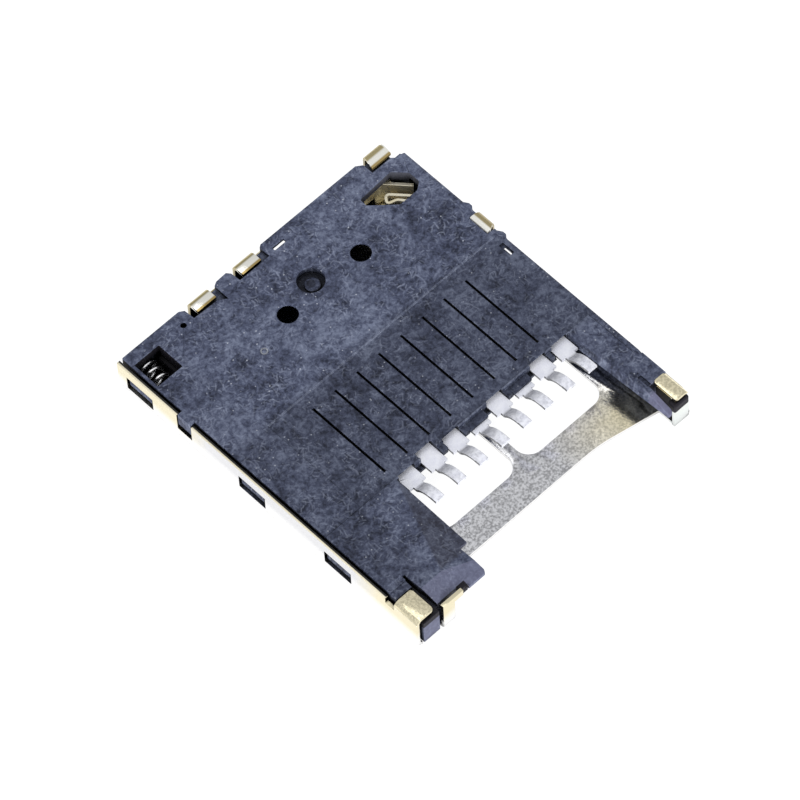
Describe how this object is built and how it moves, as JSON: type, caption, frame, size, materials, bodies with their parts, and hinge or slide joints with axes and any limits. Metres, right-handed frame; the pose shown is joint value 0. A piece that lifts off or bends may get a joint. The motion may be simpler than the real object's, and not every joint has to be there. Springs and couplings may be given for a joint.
{
  "type": "memory card connector",
  "caption": "Low push-push socket for a small memory card: stamped shell, moulded housing, sprung contacts with gull-wing leads, sliding ejector with cam pin and coil spring.",
  "frame": {"origin": "middle of the cover's outer face, under the middle of the body", "axes": "+X across the card towards the rail side, +Y from the card mouth to the rear, +Z from the cover up to the solder plane"},
  "size_m": [0.014, 0.0159, 0.0017],
  "materials": {
    "housing_moulding": "matt glass-filled moulding, slate blue-grey and mottled",
    "shell_sheet": "plated stainless sheet, pale gold at the ends and silver in the middle",
    "slider_moulding": "matt black moulding",
    "spring_steel": "bright spring strip",
    "steel_wire": "bright drawn wire",
    "spring_wire": "bright spring wire",
    "gold_strip": "gold-plated copper alloy strip",
    "contact_strip": "tin-plated copper alloy strip, pale and bright"
  },
  "bodies": {
    "frame": {"housing": "housing_moulding", "shell": "shell_sheet", "eject_spring": "spring_wire", "detect_fixed_terminal": "gold_strip", "detect_spring_terminal": "gold_strip", "contact_1": "contact_strip", "contact_2": "contact_strip", "contact_3": "contact_strip", "contact_4": "contact_strip", "contact_5": "contact_strip", "contact_6": "contact_strip", "contact_7": "contact_strip", "contact_8": "contact_strip"},
    "slider": {"slider": "slider_moulding", "card_lock_spring": "spring_steel"},
    "cam_pin": {"cam_pin": "steel_wire"}
  },
  "joints": [
    {"name": "slider_travel", "type": "slide", "parent": "frame", "child": "slider", "axis": [0, 1, 0], "range_m": [0, 0.004], "stiffness_N_per_m": 120, "deforming": ["eject_spring"]},
    {"name": "cam_pin_swing", "type": "hinge", "parent": "frame", "child": "cam_pin", "pos_m": [-0.00441, 0.005, 0.0003], "axis": [0, 0, 1], "range_deg": [0, 6.5]}
  ],
  "couplings": [
    {"joint": "cam_pin_swing", "follows": "slider_travel", "rad_per_m": 27.08}
  ]
}
